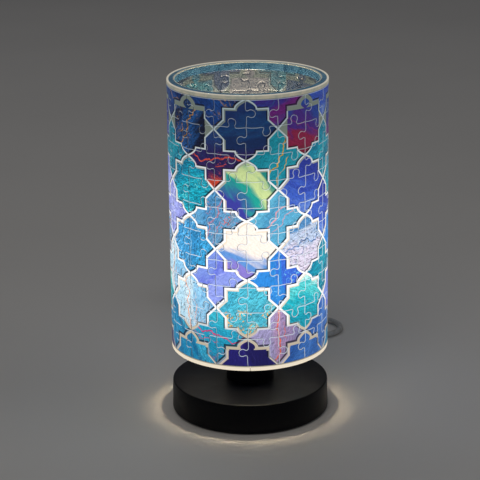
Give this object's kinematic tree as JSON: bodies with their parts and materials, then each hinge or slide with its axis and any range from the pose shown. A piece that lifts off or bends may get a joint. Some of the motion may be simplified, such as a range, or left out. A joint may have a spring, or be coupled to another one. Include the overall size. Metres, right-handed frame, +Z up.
{
  "type": "table lamp with a puzzle-piece shade",
  "caption": "Small table lamp: a translucent cylinder of interlocking printed puzzle pieces between clear rings, on a short neck and a round black weighted base, with a corded switch and plug.",
  "frame": {"origin": "centre of the base's underside, on the surface that the lamp stands on", "axes": "+Z up along the lamp's axis, -Y the front, +Y the back where the cord leaves"},
  "size_m": [0.1226, 0.2883, 0.22],
  "materials": {
    "satin_black": "satin black moulding",
    "matte_black": "matt black thermoplastic",
    "rubber": "soft matt rubber",
    "zinc_steel": "bright zinc plate",
    "cast_iron": "rough casting",
    "ceramic": "unglazed white ceramic",
    "brass": "stamped brass",
    "nickel": "nickel plate",
    "clear_plastic": "clear moulded plastic",
    "printed_plastic": "translucent plastic with a printed star and cross tile pattern, semi-gloss",
    "opal": "opal white, lit",
    "white_plastic": "white moulded plastic",
    "board": "white circuit board",
    "black_glass": "black cap glass",
    "cord_grey": "light grey flexible sheath"
  },
  "bodies": {
    "base": {"foot_pad": "rubber", "base_plate": "zinc_steel", "ballast_ring": "cast_iron", "base_cover": "satin_black", "base_screw_1": "zinc_steel", "base_screw_2": "zinc_steel", "base_screw_3": "zinc_steel", "threaded_tube": "zinc_steel", "tube_washer": "zinc_steel", "tube_nut": "zinc_steel", "neck_sleeve": "satin_black", "holder_cap": "matte_black", "holder_sleeve": "matte_black", "holder_insert": "ceramic", "holder_screw_shell": "brass", "holder_contact": "brass", "cord_boot": "rubber", "cord_clamp": "matte_black", "clamp_screw": "zinc_steel", "cord_inside": "cord_grey", "cord_to_switch": "cord_grey", "cord_to_coil": "cord_grey", "cord_coil": "cord_grey", "cord_to_plug": "cord_grey", "switch_case_lower": "white_plastic", "switch_case_upper": "white_plastic", "plug_body": "white_plastic", "plug_pin_1": "nickel", "plug_pin_2": "nickel"},
    "carrier": {"shade_carrier": "clear_plastic"},
    "shade": {"puzzle_column_01": "printed_plastic", "puzzle_column_02": "printed_plastic", "puzzle_column_03": "printed_plastic", "puzzle_column_04": "printed_plastic", "puzzle_column_05": "printed_plastic", "puzzle_column_06": "printed_plastic", "puzzle_column_07": "printed_plastic", "puzzle_column_08": "printed_plastic", "puzzle_column_09": "printed_plastic", "puzzle_column_10": "printed_plastic", "puzzle_column_11": "printed_plastic", "puzzle_column_12": "printed_plastic", "puzzle_column_13": "printed_plastic", "puzzle_column_14": "printed_plastic", "puzzle_column_15": "printed_plastic", "puzzle_column_16": "printed_plastic", "top_ring_right": "clear_plastic", "top_ring_left": "clear_plastic", "bottom_ring_right": "clear_plastic", "bottom_ring_left": "clear_plastic"},
    "nut_slider": {"ring_nut_washer": "white_plastic"},
    "nut": {"ring_nut": "matte_black"},
    "bulb_slider": {"bulb_tip": "brass", "bulb_insulator": "black_glass"},
    "bulb": {"bulb_cap": "nickel", "bulb_collar": "white_plastic", "bulb_board": "board", "bulb_globe": "opal"},
    "rocker": {"switch_rocker": "white_plastic"}
  },
  "joints": [
    {"name": "shade_turn", "type": "hinge", "parent": "base", "child": "carrier", "pos_m": [0, 0, 0.0446], "axis": [0, 0, 1], "continuous": true},
    {"name": "shade_lift", "type": "slide", "parent": "carrier", "child": "shade", "axis": [0, 0, 1], "range_m": [0, 0.11]},
    {"name": "ring_nut_rise", "type": "slide", "parent": "base", "child": "nut_slider", "axis": [0, 0, 1], "range_m": [0, 0.005]},
    {"name": "ring_nut_turn", "type": "hinge", "parent": "nut_slider", "child": "nut", "pos_m": [0, 0, 0.05], "axis": [0, 0, 1], "range_deg": [0, 900]},
    {"name": "bulb_rise", "type": "slide", "parent": "base", "child": "bulb_slider", "axis": [0, 0, 1], "range_m": [0, 0.01128]},
    {"name": "bulb_turn", "type": "hinge", "parent": "bulb_slider", "child": "bulb", "pos_m": [0, 0, 0.07], "axis": [0, 0, 1], "range_deg": [0, 1440]},
    {"name": "switch_rock", "type": "hinge", "parent": "base", "child": "rocker", "pos_m": [0.002, 0.154, 0.012], "axis": [0, -1, 0], "range_deg": [0, 20]}
  ],
  "couplings": [
    {"joint": "ring_nut_turn", "follows": "ring_nut_rise", "rad_per_m": 3141.6},
    {"joint": "bulb_turn", "follows": "bulb_rise", "rad_per_m": 2228.1}
  ]
}
